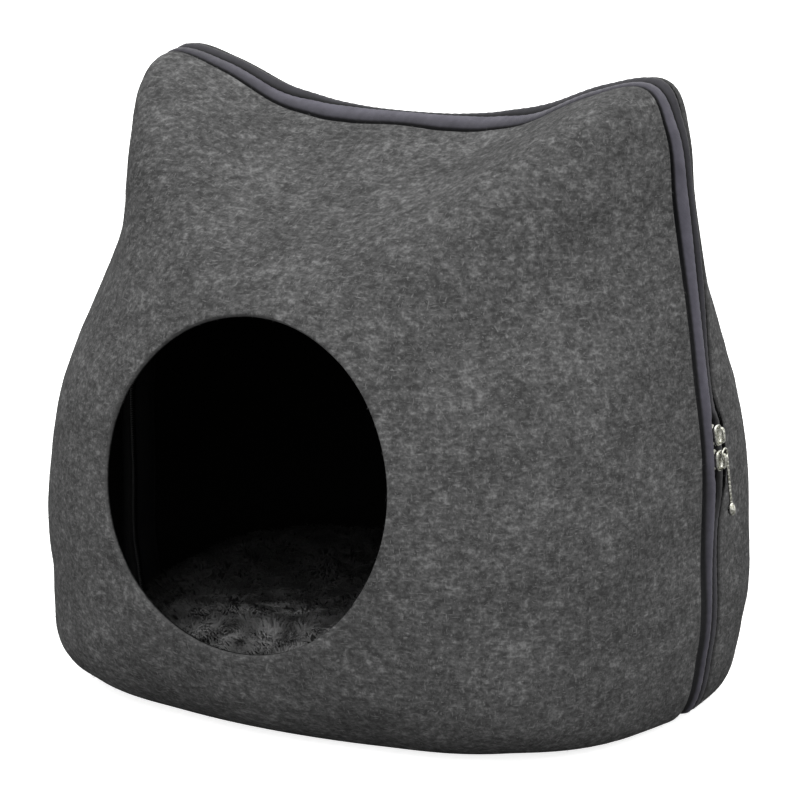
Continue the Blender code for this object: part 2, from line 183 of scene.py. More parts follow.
def lengths(points):
    """Distance walked along the last line of points, from 0."""
    legs = np.linalg.norm(np.diff(points, axis=-2), axis=-1)
    return np.concatenate([np.zeros_like(legs[..., :1]), np.cumsum(legs, -1)], -1)


def ridge_angles(start, stop, count, last=True):
    """Station angles at even steps along the ridge."""
    fine = np.linspace(start, stop, 2400)
    walked = lengths(form(fine, 0.0, False))
    return np.interp(np.linspace(0, walked[-1], count, endpoint=last), walked, fine)


def parting(angle, back):
    """0 where the lips meet, 1 where the sliders hold them apart. The front lip soon springs back below."""
    return ramp(angle, *PARTED) * (1 - ramp(angle, *PARTED_CLOSES[int(back)]))


def pushed_edge(angle):
    """0 to 1: how far the back felt's edge bows back at the sliders, over a longer way than the lips."""
    above, below = PARTED_EDGE_SPAN
    return ramp(angle, *above) * (1 - ramp(angle, *below))


def slot_half(angle, back):
    """Distance from the ridge to the felt's edge, which narrows to the seam as a quarter circle."""
    t = np.clip((SLOT_CLOSES[0] - mirrored(angle)) / (SLOT_CLOSES[0] - SLOT_CLOSES[1]), 0, 1)
    width = SLOT + (PARTED_EDGE * pushed_edge(angle) if back else 0)
    return np.maximum(width * np.sqrt(1 - t**2), SEAM)


def lumps(points, size, seed):
    """A smooth uneven value, about -1 to 1: the sum of sine waves of like lengths in many directions."""
    pick = np.random.default_rng(seed)
    total = 0
    for _ in range(14):
        way = pick.normal(size=3)
        way *= 2 * np.pi / (size * np.linalg.norm(way) * pick.uniform(0.7, 1.4))
        total = total + np.sin(points @ way + pick.uniform(0, 2 * np.pi))
    return total / 3.2


def normals(grid, outwards_from):
    """Unit normals of a grid that closes along its first axis, turned away from a point."""
    around = np.roll(grid, -1, 0) - np.roll(grid, 1, 0)
    normal = unit(np.cross(around, np.gradient(grid, axis=1)))
    return normal * np.sign((normal * (grid - outwards_from)).sum(-1).mean())


def grid_faces(across, along, wrap_across, wrap_along):
    """Quads of a grid of across by along points, joined round where it wraps."""
    rows = np.arange(across if wrap_across else across - 1)
    i, j = np.meshgrid(rows, np.arange(along if wrap_along else along - 1), indexing="ij")
    i2, j2 = (i + 1) % across, (j + 1) % along
    quads = np.stack([i * along + j, i2 * along + j, i2 * along + j2, i * along + j2], -1)
    return quads.reshape(-1, 4)


def new_piece(name, points, faces, finish):
    """A mesh piece from its points and faces, with a material, on the one body."""
    mesh = bpy.data.meshes.new(name)
    mesh.from_pydata(np.asarray(points).reshape(-1, 3).tolist(), [], [list(face) for face in faces])
    mesh.materials.append(finish)
    mesh.shade_smooth()
    mesh.update()
    piece = bpy.data.objects.new(name, mesh)
    bpy.context.scene.collection.objects.link(piece)
    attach(piece, "root")
    return piece


def outward(piece, weld=None):
    """Turns every face of a closed mesh outwards, after joining points that lie closer than weld."""
    build = bmesh.new()
    build.from_mesh(piece.data)
    if weld:
        bmesh.ops.remove_doubles(build, verts=build.verts, dist=weld)
    bmesh.ops.recalc_face_normals(build, faces=build.faces)
    build.to_mesh(piece.data)
    build.free()


def point_values(piece, name, values):
    """Stores one number for each point, for the material to read."""
    layer = piece.data.attributes.new(name, "FLOAT", "POINT")
    layer.data.foreach_set("value", np.asarray(values, np.float32).ravel())


class Value:
    """A shader socket that takes Python's operators: each adds its Math node."""

    def __init__(self, finish, socket):
        self.finish, self.socket = finish, socket

    def math(self, operation, *numbers):
        return self.finish.node("Math", {"operation": operation}, dict(enumerate(numbers)))

    def __add__(self, other):
        return self.math("ADD", self, other)

    def __rsub__(self, other):
        return self.math("SUBTRACT", other, self)

    def __mul__(self, other):
        return self.math("MULTIPLY", self, other)

    def sine(self):
        return self.math("SINE", self)

    __radd__ = __add__
    __rmul__ = __mul__


class Finish:
    """A material, its shader's fixed values, and the nodes that vary it over the surface."""

    def __init__(self, name, **fixed):
        self.material = bpy.data.materials.new(name)
        self.material.use_nodes = True
        self.tree = self.material.node_tree
        self.shader = self.tree.nodes["Principled BSDF"]
        for key, value in fixed.items():
            self.feed(self.shader.inputs[key.replace("_", " ").title().replace("Ior", "IOR")], value)

    def feed(self, socket, value):
        if isinstance(value, Value):
            self.tree.links.new(value.socket, socket)
        else:
            socket.default_value = value

    def node(self, kind, settings=None, inputs=None, output=0):
        """Any node: its type, its settings, then the values or links of its inputs."""
        made = self.tree.nodes.new("ShaderNode" + kind)
        for key, value in (settings or {}).items():
            setattr(made, key, value)
        for key, value in (inputs or {}).items():
            self.feed(made.inputs[key], value)
        return Value(self, made.outputs[output])

    def places(self, scale=(1, 1, 1), turn=(0, 0, 0)):
        """The piece's own coordinates, stretched and turned."""
        own = self.node("TexCoord", output="Object")
        return self.node("Mapping", None, {"Vector": own, "Scale": scale, "Rotation": turn})

    def noise(self, places, scale, detail=2.0, roughness=0.5):
        inputs = {"Vector": places, "Scale": scale, "Detail": detail, "Roughness": roughness}
        return self.node("TexNoise", {"noise_dimensions": "3D"}, inputs)

    def between(self, value, low, high):
        """0 at low, 1 at high, smooth between."""
        inputs = {"Value": value, "From Min": low, "From Max": high}
        return self.node("MapRange", {"interpolation_type": "SMOOTHSTEP"}, inputs)

    def highest(self, values):
        """The highest of several values at each place."""
        top = values[0]
        for value in values[1:]:
            top = top.math("MAXIMUM", top, value)
        return top

    def attribute(self, name):
        """A number that the mesh keeps for each point."""
        return self.node("Attribute", {"attribute_name": name}, output="Fac")

    def mix(self, share, first, second):
        inputs = {"Fac": share, "Color1": first, "Color2": second}
        return self.node("MixRGB", {"blend_type": "MIX"}, inputs)

    def bump(self, height, distance, strength):
        bumped = self.node("Bump", None, {"Height": height, "Distance": distance, "Strength": strength})
        self.feed(self.shader.inputs["Normal"], bumped)

    def colour(self, value):
        self.feed(self.shader.inputs["Base Color"], value)


def grey(level):
    return (level, level, level, 1)


FELT_DARK = grey(0.034)
FELT_MID = grey(0.087)
FELT_LIGHT = grey(0.196)
FELT_CUT = grey(0.070)
# Near black: painted shade for the felt's inside
FELT_PAINTED_SHADE = grey(0.0012)
# Repeats to the metre of the felt's patterns, and how they are stretched and turned. A streak or a hair has
# three counts of repeats, one along each axis.
CLOUDS, FLECKS, KNOTS, GRAIN = 34, 400, 170, 640
FELT_FLAT = (0.6, 0.6, 1.0)
KNOTS_FLAT, KNOTS_TURN = (0.8, 0.8, 1.0), (0.3, 0.1, 0.6)
GRAIN_TURN = (0.5, 0.9, 0.2)
STREAKS = (
    ((170, 170, 900), (0.1, 0.1, 0.2)),
    ((800, 170, 260), (0.3, 0.4, 0.7)),
    ((170, 800, 260), (0.4, 0.3, 1.1)),
)
HAIRS = (((60, 760, 760), (0.2, 0.5, 0.9)), ((760, 70, 600), (0.7, 0.2, 0.5)))
# How much of the tone the flecks, knots, grain and clouds make up
TONE_SHARES = (0.34, 0.26, 0.20, 0.20)
# Between which values each colour comes in, and its greatest share
MID_FROM = (0.36, 0.62)
LIGHT_FROM, LIGHT_SHARE = (0.52, 0.70), 0.7
STREAKS_FROM, STREAKS_SHARE = (0.62, 0.80), 0.45
HAIRS_FROM, HAIRS_SHARE = (0.68, 0.80), 0.5
# Across the cut edge, 0 outside and 1 inside: where its plain colour comes and goes, and where the painted
# shade of the inside, near black, comes in
CUT_FROM, CUT_TO, CUT_SHARE = (0.02, 0.2), (0.45, 0.8), 0.5
PAINTED_SHADE_FROM = (0.45, 0.9)


def felt_finish():
    """Charcoal fibres matted with lighter grey ones.

    Clouds of 30 mm, knots of 6 mm, flecks of 3 to 4 mm drawn out along the ground, fine grain, short
    crossed streaks and a few long hairs. The cut edge is plainer, and the inside is painted near black as
    shade.
    """
    felt = Finish("charcoal_felt", roughness=0.97, specular_ior_level=0.15)
    flat = felt.places(FELT_FLAT)
    cloud = felt.noise(flat, CLOUDS, roughness=0.6)
    fleck = felt.noise(flat, FLECKS, detail=1)
    knot = felt.noise(felt.places(KNOTS_FLAT, KNOTS_TURN), KNOTS)
    fine = felt.noise(felt.places(turn=GRAIN_TURN), GRAIN, detail=1)
    streaks = felt.highest([felt.noise(felt.places(*row), 1, detail=1) for row in STREAKS])
    hairs = felt.highest([felt.noise(felt.places(*row), 1, detail=1) for row in HAIRS])
    tone = sum(share * value for share, value in zip(TONE_SHARES, (fleck, knot, fine, cloud)))
    base = felt.mix(felt.between(tone, *MID_FROM), FELT_DARK, FELT_MID)
    base = felt.mix(felt.between(tone, *LIGHT_FROM) * LIGHT_SHARE, base, FELT_LIGHT)
    base = felt.mix(felt.between(streaks, *STREAKS_FROM) * STREAKS_SHARE, base, FELT_LIGHT)
    base = felt.mix(felt.between(hairs, *HAIRS_FROM) * HAIRS_SHARE, base, FELT_LIGHT)
    wall = felt.attribute("wall")
    cut = felt.between(wall, *CUT_FROM) * (1 - felt.between(wall, *CUT_TO))
    base = felt.mix(cut * CUT_SHARE, base, FELT_CUT)
    # Painted shade: the inside of the felt goes near black
    base = felt.mix(felt.between(wall, *PAINTED_SHADE_FROM), base, FELT_PAINTED_SHADE)
    felt.colour(base)
    felt.bump(fleck * 0.5 + fine * 0.5 + streaks * 0.4, distance=0.0007, strength=0.8)
    return felt.material


def felt_half(name, back, finish):
    """One half: its outside in even rows from the middle, its inside 4 mm within, and rounded cut edges."""
    angles = ridge_angles(-90, 270, FELT_AROUND, last=False)
    depth = 1 - np.linspace(0, 1, 200) ** 5
    coarse = form(angles[:, None], depth, back)
    walked = lengths(coarse)
    whole = BACK_DEPTH if back else FRONT_DEPTH
    drop = (ENTRANCE_Z - CENTRE_Z) * np.sin(np.radians(angles))
    rim_reach = drop + np.sqrt(ENTRANCE_RADIUS**2 - (ENTRANCE_Z - CENTRE_Z) ** 2 + drop**2)
    reach = moulded_reach(angles[:, None], depth[None], back)
    starts = [0 if back else np.interp(r, line, w) for r, line, w in zip(rim_reach, reach, walked)]
    starts = np.array(starts)
    edge_depth = slot_half(angles, back) / whole
    stops = np.array([np.interp(-d, -depth, w) for d, w in zip(edge_depth, walked)])
    share = np.linspace(0, 1, FELT_ROWS)
    goal = starts[:, None] + (stops - starts)[:, None] * share
    outer = form(angles[:, None], np.array([np.interp(g, w, depth) for g, w in zip(goal, walked)]), back)
    normal = normals(outer, np.array((0, RIDGE_Y, CENTRE_Z)))
    if back:
        normal[:, 0] = (0, 1, 0)
        normal[:, 1:3] = normal[:, 3:4]
    to_edge = stops[:, None] - goal
    calm = ramp(to_edge, 0, LUMPS_FADE) * ramp(outer[..., 2], FELT, LUMPS_FADE)
    if not back:
        calm *= ramp(goal - starts[:, None], 0, LUMPS_FADE)
    uneven = sum(height * lumps(outer, size, seed) for height, size, seed in LUMPS)
    outer = outer + normal * (uneven * calm)[..., None]
    inner_at = np.linspace(0, FELT_ROWS - 1, FELT_INNER_ROWS).round().astype(int)[::-1]
    inner = (outer - FELT * normal)[:, inner_at]
    inner[..., 2] = np.maximum(inner[..., 2], FELT)

    def rim(row, inwards):
        """A cut edge: from the outside to the inside, bulged a little along the sheet."""
        way = unit(outer[:, row] - outer[:, row + inwards])
        bulge = np.minimum(EDGE_BULGE, 0.4 * slot_half(angles, back))[:, None, None]
        across = np.array(EDGE_ACROSS)
        inside = np.maximum(outer[:, row] - FELT * normal[:, row], (-np.inf, -np.inf, FELT))
        line = outer[:, row, None] * (1 - across[:, None]) + inside[:, None] * across[:, None]
        return line + way[:, None] * bulge * (np.sin(np.pi * across) ** 0.5)[:, None], across

    slot_rim, across = rim(-1, -1)
    parts = [outer, slot_rim, inner]
    # 0 on the outside, 1 on the inside
    wall = [np.zeros(FELT_ROWS), np.minimum(1.6 * across, 1), np.ones(len(inner_at))]
    if not back:
        hole_rim, across = rim(0, 1)
        parts.append(hole_rim[:, ::-1])
        wall.append(across[::-1])
    grid = np.concatenate(parts, 1)
    around, along = grid.shape[:2]
    faces = grid_faces(around, along, True, not back)
    points = grid.reshape(-1, 3)
    walls = np.tile(np.concatenate(wall), (around, 1))
    if back:
        # Painted shade: where the sliders push the back felt's edge back, its cut edge is painted near
        # black as well
        walls = np.where(walls > 0.1, np.maximum(walls, pushed_edge(angles)[:, None]), walls)
        # Its outside and its inside each close to one point in the middle
        keep = np.ones((around, along), bool)
        keep[1:, [0, -1]] = False
        number = (np.cumsum(keep.ravel()) - 1).reshape(around, along)
        number[1:, 0], number[1:, -1] = number[0, 0], number[0, -1]
        number = number.ravel()
        faces = [list(dict.fromkeys(number[face])) for face in faces]
        points, walls = points[keep.ravel()], walls[keep]
    half = new_piece(name, points, faces, finish)
    outward(half)
    point_values(half, "wall", walls)
    return half


felt = felt_finish()
front = felt_half("front_felt", False, felt)
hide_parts("front_half")
back = felt_half("back_felt", True, felt)
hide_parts("back_half")

# ---- Zip tapes ----------------------------------------------------------------------------------
# Each tape is a fine woven ribbon, sewn under the felt's edge. Its free side is rolled over a filler cord
# into a soft lip, and the two lips meet over the coil. They run from base to base over both ears.
TAPE = 0.0012
# Station angles where the tape ends, and over which it sinks under the felt before that
TAPE_ENDS = -46.2
TAPE_SINKS = (-40.5, -43.5)
# How far the flange starts before the felt's edge, on top and underneath, how far it reaches under it, and
# its top's height. Then how far the sliders push the front lip.
TAPE_BEFORE = (0.0008, 0.0016)
TAPE_UNDER = 0.005
TAPE_DEPTH = -0.0048
PARTED_FRONT = 0.0014
# The lip, from its inner edge over its top to the groove: mm across from the ridge, mm over the felt. For
# each half, over the ears and sides, then near the base.
FRONT_LIP = (
    ((0.4, -1.2), (0.7, 0.1), (1.7, 1.0), (4.5, 1.3), (7.3, 0.7), (8.8, -0.6), (9.7, -2.7), (11.3, -4.2)),
    ((0.9, -1.3), (1.2, -0.3), (1.9, 0.4), (3.5, 0.8), (5.2, 0.4), (6.3, -0.8), (7.8, -2.9), (10.8, -4.3)),
)
BACK_LIP = (
    ((1.1, -1.5), (1.5, -0.6), (2.4, 0.0), (4.3, 0.4), (5.9, 0.1), (7.2, -0.9), (8.8, -2.7), (10.9, -4.2)),
    ((1.1, -1.5), (1.5, -0.6), (2.6, 0.1), (5.0, 0.6), (7.2, 0.4), (8.6, -0.6), (9.7, -2.7), (11.3, -4.2)),
)
# Where the lip's outer side goes into the groove, and where it counts as part of the flange
LIP_GROOVE = SLOT - 0.0027
LIP_ENDS = SLOT - 0.003
# Station angles over which the low profile takes over, and over which the lip widens to the top, and how
# much it widens. Then the profile's last two points, under the lip.
LIP_LOW = (-12.0, -28.0)
LIP_TOP = (14.0, 40.0)
LIP_WIDENS = 80.0
LIP_FOOT = ((6.9, -3.7), (1.3, -3.2))
# How far from the ridge the lip's upright turns square to the felt, and how far the lip puckers
LIP_SQUARE = 0.009
PUCKER, PUCKER_LENGTH = 0.00012, 0.006
# Heights over which the lip comes out of its own shade
LIP_SHOWS = (-0.0012, 0.0002)
# How much painted shade darkens the tape: on the front lip's outer side at some angles, on the back lip,
# where the sliders part them, near the base, and at the left ear
OUTER_SIDE = (0.0022, 0.0095)
OUTER_ANGLES = (-10, 5, 48, 60)
OUTER_SHADES = (0.75, 0.25, 0.25, 0.55)
BACK_OUTER_SHADE = 0.35
BACK_SHADE = 0.76
PARTED_SHADE = 0.25
LOW_SHADE = 0.15
LEFT_EAR = (116.0, 129.0)
LEFT_EAR_SHADE = 0.35
TAPE_STEPS = 620
TAPE_VIOLET = (0.087, 0.083, 0.107, 1)
TAPE_SHADE = (0.053, 0.050, 0.067, 1)
# Near black: the painted shade under and beside the lips
TAPE_PAINTED_SHADE = (0.002, 0.002, 0.003, 1)
# From rib to rib and from one warp yarn to the next, and repeats of the wear to the metre
TAPE_RIB = 0.0008
TAPE_WARP = 0.0005
TAPE_WEAR = 90


def beside_ridge(angle, across, lift, back):
    """Points a distance across from the ridge, lifted along the felt's normal, which is upright there."""
    whole = BACK_DEPTH if back else FRONT_DEPTH
    turn, step = 0.2, 0.0002
    along = form(angle + turn, across / whole, back) - form(angle - turn, across / whole, back)
    inner = form(angle, np.maximum(across - step, 0) / whole, back)
    normal = np.cross(along, form(angle, (across + step) / whole, back) - inner) * (-1 if back else 1)
    normal[..., 1] *= ramp(across, 0, LIP_SQUARE)
    return form(angle, across / whole, back) + unit(normal) * lift[..., None]


def softened(line, rounds):
    """Cuts every corner of an open line: each leg keeps its middle half, and the ends stay."""
    for _ in range(rounds):
        first, second = line[:-1], line[1:]
        cut = np.stack([0.75 * first + 0.25 * second, 0.25 * first + 0.75 * second], 1).reshape(-1, 2)
        line = np.concatenate([line[:1], cut, line[-1:]])
    return line


def closed_loft(name, rows, finish, wrap=False, sharp=42):
    """A mesh of closed rings joined in order, with a face on each end or joined round from last to first.

    Edges that turn by more than sharp, in degrees, stay sharp.
    """
    count, round_ = rows.shape[:2]
    faces = grid_faces(count, round_, wrap, True).tolist()
    if not wrap:
        faces += [list(range(round_)), list(range((count - 1) * round_, count * round_))]
    piece = new_piece(name, rows, faces, finish)
    outward(piece)
    piece.data.set_sharp_from_angle(angle=np.radians(sharp))
    return piece


def tape_finish():
    """A fine ribbed weave with a soft sheen: sine waves along the tape for ribs, across it for the warp."""
    woven = Finish("woven_zip_tape", roughness=0.5, specular_ior_level=0.3, sheen_weight=0.05)
    place = woven.node("UVMap", {"uv_map": "tape"})
    along = woven.node("SeparateXYZ", None, {"Vector": place}, "X")
    across = woven.node("SeparateXYZ", None, {"Vector": place}, "Y")
    rib = (along * (2 * np.pi / TAPE_RIB)).sine()
    warp = (across * (2 * np.pi / TAPE_WARP)).sine()
    weave = rib * 0.5 + rib * warp * 0.3
    wear = woven.noise(woven.places(), TAPE_WEAR, detail=3, roughness=0.6)
    share = woven.between(wear + weave * 0.10, 0.25, 0.75)
    yarn = woven.mix(share, TAPE_SHADE, TAPE_VIOLET)
    # The inner value paints shade on the tape: near black under the lips and in the groove, and darker on
    # the lip's outer side, on the back lip, where the sliders part them, near the base and at the left ear
    woven.colour(woven.mix(woven.attribute("inner"), yarn, TAPE_PAINTED_SHADE))
    woven.bump(weave + wear * 0.8, distance=0.00012, strength=0.7)
    return woven.material


def zip_tape(name, back, finish):
    """Lip, flange and foot as one closed profile along the ridge. It sinks under the felt at its ends."""
    angles = ridge_angles(TAPE_ENDS, 180 - TAPE_ENDS, TAPE_STEPS)
    high, low = (softened(np.array(lip) / 1000, 2) for lip in (BACK_LIP if back else FRONT_LIP))
    foot = np.array(LIP_FOOT) / 1000
    top, under, end = SLOT - TAPE_BEFORE[0], SLOT - TAPE_BEFORE[1], SLOT + TAPE_UNDER
    flange = np.array([(top, 0), (end, 0), (end, -TAPE), (under, -TAPE)]) + (0, TAPE_DEPTH)
    at = angles[:, None]
    lowness = ramp(mirrored(at), *LIP_LOW)
    rest = np.concatenate([flange, foot])
    lips = (high[:, k] * (1 - lowness) + low[:, k] * lowness for k in (0, 1))
    plan, rise = (np.concatenate([lip, np.tile(rest[:, k], (len(at), 1))], 1) for k, lip in enumerate(lips))
    lip_points = np.arange(plan.shape[1]) < len(high)
    room = np.clip(1 - plan / LIP_GROOVE, 0, 1) * lip_points
    plan = plan + LIP_WIDENS * plan**2 * room * ramp(mirrored(at), *LIP_TOP)
    sunk = TAPE_DEPTH - TAPE * np.repeat((0, 1), (len(high) + 2, len(foot) + 2))
    stands = ramp(mirrored(at), TAPE_SINKS[1], TAPE_SINKS[0])
    lip_share = np.where(plan > LIP_ENDS, 1, plan / LIP_ENDS)
    apart = parting(at, back)
    moved = np.maximum(slot_half(at, back), SLOT) - SLOT
    pushed = (PARTED_BACK if back else PARTED_FRONT) * apart
    across = plan + pushed * (1 - lip_share) + moved * lip_share
    height = rise * stands + sunk * (1 - stands)
    walked = lengths(form(angles, 0.0, False))[:, None]
    pucker = PUCKER * np.sin(walked * 2 * np.pi / PUCKER_LENGTH) * (rise > -0.002)
    grid = beside_ridge(np.broadcast_to(at, across.shape), across, height + pucker * stands, back)
    tape = closed_loft(name, grid, finish, sharp=50)
    # Painted shade, stored as the inner value: below the lip's top, then more on its outer side, on the
    # back lip, where the sliders part the lips, near the base and at the left ear
    if back:
        whole, outer_shade = BACK_SHADE + PARTED_SHADE * apart, BACK_OUTER_SHADE
    else:
        whole = LOW_SHADE * lowness + LEFT_EAR_SHADE * ramp(at, *LEFT_EAR)
        outer_shade = np.interp(mirrored(at), OUTER_ANGLES, OUTER_SHADES)
    shaded = 1 - ramp(rise, *LIP_SHOWS) * (1 - whole) * (1 - outer_shade * ramp(plan, *OUTER_SIDE))
    point_values(tape, "inner", np.broadcast_to(shaded, grid.shape[:2]))
    place = np.stack(np.broadcast_arrays(walked, lengths(np.stack([plan, rise], -1))), -1)
    corners = np.zeros(len(tape.data.loops), int)
    tape.data.loops.foreach_get("vertex_index", corners)
    layer = tape.data.uv_layers.new(name="tape")
    layer.uv.foreach_set("vector", place.reshape(-1, 2)[corners].astype(np.float32).ravel())
    return tape


woven = tape_finish()
for name, node, is_back in (("front_tape", "zip_tape_front", False), ("back_tape", "zip_tape_back", True)):
    tape = zip_tape(name, is_back, woven)
    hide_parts(node)

# ---- Coil ---------------------------------------------------------------------------------------
# The closed coil lies under the two lips and shows only where the sliders hold them apart. Its turns are
# black nylon, and come from both tapes by turns.
COIL_PITCH = 0.0008
COIL_REACH = 0.0013
# A turn's half sizes across, out of and along the zip, and its points round and from end to end
COIL_TURN = (0.0019, 0.0007, 0.00042)
COIL_GRID = (7, 5)
# Its depth under the lower of the two halves, and how far beside the ridge their height is taken
COIL_DEPTH = -0.0038
COIL_BESIDE = 0.0032
COIL_WELD = 1e-6


def ridge_frame(angles):
    """Places on the ridge with their directions: along it, across it to the back, and out."""
    here = form(angles, 0.0, False)
    up = unit(form(angles + 0.3, 0.0, False) - form(angles - 0.3, 0.0, False))
    across = np.broadcast_to(np.array((0.0, 1.0, 0.0)), up.shape)
    out = np.cross(across, up)
    out *= np.sign((out * (here - (0, RIDGE_Y, CENTRE_Z))).sum(-1, keepdims=True))
    return here, up, across, out


nylon = Finish("black_coil", base_color=(0.0015, 0.0015, 0.002, 1), specular_ior_level=0.05)
rub = nylon.noise(nylon.places(), 400)
nylon.feed(nylon.shader.inputs["Roughness"], 0.5 + rub * 0.25)
coil_length = lengths(form(np.linspace(TAPE_SINKS[0], 180 - TAPE_SINKS[0], 2400), 0.0, False))[-1]
coil_angles = ridge_angles(TAPE_SINKS[0], 180 - TAPE_SINKS[0], int(coil_length / COIL_PITCH))
here, up, across, out = ridge_frame(coil_angles)
level = np.minimum(
    ((form(coil_angles, COIL_BESIDE / FRONT_DEPTH, False) - here) * out).sum(-1),
    ((form(coil_angles, COIL_BESIDE / BACK_DEPTH, True) - here) * out).sum(-1),
)
side = np.where(np.arange(len(coil_angles)) % 2, 1.0, -1.0) * COIL_REACH
middle = here + out * (level + COIL_DEPTH)[:, None] + across * side[:, None]
lat = np.linspace(0, np.pi, COIL_GRID[1])
lon = np.linspace(0, 2 * np.pi, COIL_GRID[0], endpoint=False)
ball_across, ball_out = np.outer(np.sin(lat), np.cos(lon)), np.outer(np.sin(lat), np.sin(lon))
ball = np.stack([ball_across, ball_out, np.outer(np.cos(lat), np.ones(len(lon)))], -1).reshape(-1, 3)
turns = middle[:, None] + sum(
    way[:, None] * ball[None, :, k : k + 1] * size
    for k, (way, size) in enumerate(zip((across, out, up), COIL_TURN))
)
one = grid_faces(len(lat), len(lon), False, True)
faces = (one[None] + (np.arange(len(coil_angles)) * len(ball))[:, None, None]).reshape(-1, 4)
coil = new_piece("coil", turns, faces, nylon.material)
outward(coil, COIL_WELD)
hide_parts("zip_chain")

# ---- Sliders and puller -------------------------------------------------------------------------
# Two sliders of cast, nickel-plated zinc stand head to tail on the right-hand side and hold the lips apart.
# Each is two plates on a waist, with a bridge on top. A ring on the lower one carries a drop with a knob.
SLIDERS = (("upper_slider", "slider_upper", -0.75), ("lower_slider", "slider_lower", -4.8))
# How far behind the ridge they stand, half their width and length, their taper, and how square they are
SLIDER_Y = 0.0028
SLIDER_HALF = (0.0046, 0.0068)
SLIDER_TAPER = 0.16
SLIDER_SQUARE = 3.2
# Inset from the plan's edge and height over the ridge in mm, from the lower plate to the upper plate
SLIDER_LAYERS = (
    (1.6, -4.3), (0.5, -4.2), (0.0, -3.8), (0.1, -3.3), (0.6, -3.0), (2.3, -2.8), (2.4, -1.6), (2.3, -0.6),
    (0.6, -0.5), (0.1, -0.3), (0.0, 0.2), (0.0, 1.1), (0.15, 1.6), (0.5, 2.0), (1.0, 2.0), (1.4, 1.7),
    (1.6, 0.8), (2.0, 0.4), (3.2, 0.3),
)
SLIDER_TOP = 0.0020
# The bridge's width and thickness, its reach to either end, its height, and how far its ends are sunk
BRIDGE = (0.0026, 0.0014)
BRIDGE_REACH = 0.0048
BRIDGE_RISE = 0.0040
BRIDGE_SUNK = 0.0006
# The ring's wire, size and place on the slider: across, along and out of the zip. Where the drop leaves it,
# in radians from straight down, and where the drop goes.
PULLER_WIRE = 0.0008
PULLER_RING = 0.0034
PULLER_CENTRE = (0.0009, 0.0043, 0.0043)
PULLER_LEAVES = 0.9
PULLER_DROP = (0.0030, -0.0343, 0.0008)
# The drop's links, and its wire's half width between them and how much wider it is in them, over the ring's
PULLER_LINKS = 13
PULLER_BEADS = (1.12, 0.2)
# The knob's half width, its length over that, and how far it is pear-shaped
PULLER_KNOB = 0.0026
KNOB_LONG = 1.7
KNOB_PEAR = 0.22
NICKEL_DARK = (0.30, 0.30, 0.245, 1)
NICKEL_LIGHT = (0.80, 0.80, 0.74, 1)


def placed(points, angle):
    """Points given across, along and out of the zip at an angle, in the object's frame."""
    here, up, across, out = ridge_frame(np.array([angle]))
    return here + SLIDER_Y * across + points @ np.concatenate([across, up, out])


def round_section(path, radius, sides, normal):
    """Rings round a path, square to it, each of one radius. normal stands square to the path's plane."""
    along = unit(np.gradient(path, axis=0))
    first = unit(np.cross(along, normal))
    second = np.cross(along, first)
    turn = np.linspace(0, 2 * np.pi, sides, endpoint=False)[None, :, None]
    ring = first[:, None] * np.cos(turn) + second[:, None] * np.sin(turn)
    return path[:, None] + ring * np.broadcast_to(radius, len(path))[:, None, None]


nickel = Finish("nickel", metallic=1.0)
tarnish = nickel.noise(nickel.places(), 700, detail=3, roughness=0.6)
nickel.colour(nickel.mix(nickel.between(tarnish, 0.35, 0.7), NICKEL_DARK, NICKEL_LIGHT))
nickel.feed(nickel.shader.inputs["Roughness"], 0.1 + tarnish * 0.2)
nickel.bump(tarnish, distance=0.00008, strength=0.5)

plan_turn = np.linspace(0, 2 * np.pi, 56, endpoint=False)
arch = np.linspace(0, np.pi, 25)
for name, node, angle in SLIDERS:
    layers = np.array(SLIDER_LAYERS) / 1000
    c, s = np.cos(plan_turn), np.sin(plan_turn)
    plan_x, plan_y = (np.sign(v) * np.abs(v) ** (2 / SLIDER_SQUARE) for v in (c, s))
    x = (SLIDER_HALF[0] - layers[:, :1]) * plan_x * (1 - SLIDER_TAPER * (1 - plan_y) / 2)
    y = (SLIDER_HALF[1] - layers[:, :1]) * plan_y
    rows = np.stack(np.broadcast_arrays(x, y, layers[:, 1:]), -1)
    body = closed_loft(name, placed(rows, angle), nickel.material)
    run = BRIDGE_REACH * np.sign(np.cos(arch)) * np.abs(np.cos(arch)) ** 0.5
    rise = SLIDER_TOP - BRIDGE_SUNK + (BRIDGE_RISE - BRIDGE[1] / 2 + BRIDGE_SUNK) * np.sin(arch) ** 0.5
    path = np.stack([np.zeros(len(arch)), run, rise], -1)
    flat = round_section(path, BRIDGE[1] / 2, 14, np.array((1.0, 0, 0)))
    flat[..., 0] *= BRIDGE[0] / BRIDGE[1]
    closed_loft(name + "_bridge", placed(flat, angle), nickel.material)
    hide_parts(node)

ring_turn = np.linspace(0, 2 * np.pi, 40, endpoint=False)
wire_turn = np.linspace(0, 2 * np.pi, 12, endpoint=False)
ring_centre = np.array(PULLER_CENTRE)
distance = PULLER_RING + PULLER_WIRE * np.cos(wire_turn)
torus_across, torus_along = np.outer(np.cos(ring_turn), distance), np.outer(np.sin(ring_turn), distance)
torus_out = np.tile(PULLER_WIRE * np.sin(wire_turn), (len(ring_turn), 1))
torus = ring_centre + np.stack([torus_across, torus_along, torus_out], -1)
lower = SLIDERS[1][2]
puller = closed_loft("puller_ring", placed(torus, lower), nickel.material, wrap=True)
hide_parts("puller")
start = ring_centre + PULLER_RING * np.array((np.sin(PULLER_LEAVES), -np.cos(PULLER_LEAVES), 0))
share = np.linspace(0, 1, 8 * PULLER_LINKS + 1)
drop_path = start + share[:, None] * np.array(PULLER_DROP)
thin, bead = PULLER_BEADS
drop_wire = PULLER_WIRE * (thin + bead * np.abs(np.sin(np.pi * share * PULLER_LINKS)))
drop_rings = round_section(drop_path, drop_wire, 12, np.array((0, 0, 1.0)))
